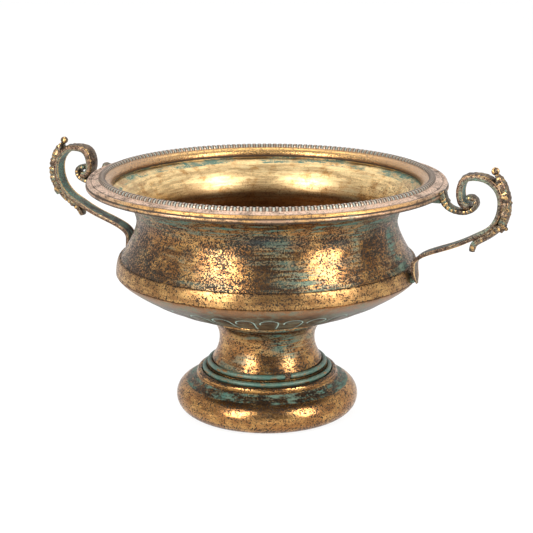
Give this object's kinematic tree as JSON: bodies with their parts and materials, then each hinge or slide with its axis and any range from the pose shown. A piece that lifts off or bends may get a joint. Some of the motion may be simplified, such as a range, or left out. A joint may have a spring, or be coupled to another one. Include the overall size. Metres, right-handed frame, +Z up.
{
  "type": "footed two-handled planter pot",
  "caption": "Footed round planter bowl with a flared neck, raised beaded rim, belly band, waisted stem and two cast scroll handles.",
  "frame": {"origin": "centre of the foot's underside, on the surface it stands on", "axes": "+Z up along the bowl's axis, the two handles lie along +X and -X"},
  "size_m": [0.41, 0.3, 0.223],
  "materials": {
    "rim_brass": "matte pinkish grey-brown patina with rubbed gold edges and pale verdigris in the notches",
    "steel_wire": "bare wire, hidden inside the rolled edge",
    "aged_brass": "antique brass, sponged dark brown speckle and brushed verdigris",
    "polished_brass": "rubbed bright brass with fine dark speckle",
    "dark_brass": "dark brown patina with verdigris left in the chased lines",
    "verdigris_wire": "verdigris with rubbed gold edges",
    "solder": "dark solder",
    "cast_brass": "cast brass, verdigris in the hollows and gold rubbed edges",
    "verdigris_lug": "dark verdigris",
    "plated_steel": "zinc plated",
    "rubber_seal": "black rubber"
  },
  "bodies": {
    "root": {"rim_ring": "rim_brass", "rim_wire": "steel_wire", "neck_shell": "aged_brass", "belly_band": "polished_brass", "bowl_dish": "dark_brass", "stem_collar": "aged_brass", "stem": "aged_brass", "stem_ring_upper": "verdigris_wire", "stem_ring_lower": "verdigris_wire", "ring_solder_upper": "solder", "ring_solder_lower": "solder", "foot": "aged_brass", "foot_bridge": "plated_steel", "centre_bolt": "plated_steel", "bolt_washer": "plated_steel", "sealing_washer": "rubber_seal", "nut_washer": "plated_steel", "centre_nut": "plated_steel", "handle_left": "cast_brass", "handle_right": "cast_brass", "rim_lugs": "verdigris_lug", "handle_screws": "plated_steel", "screw_washers": "plated_steel"}
  },
  "joints": []
}
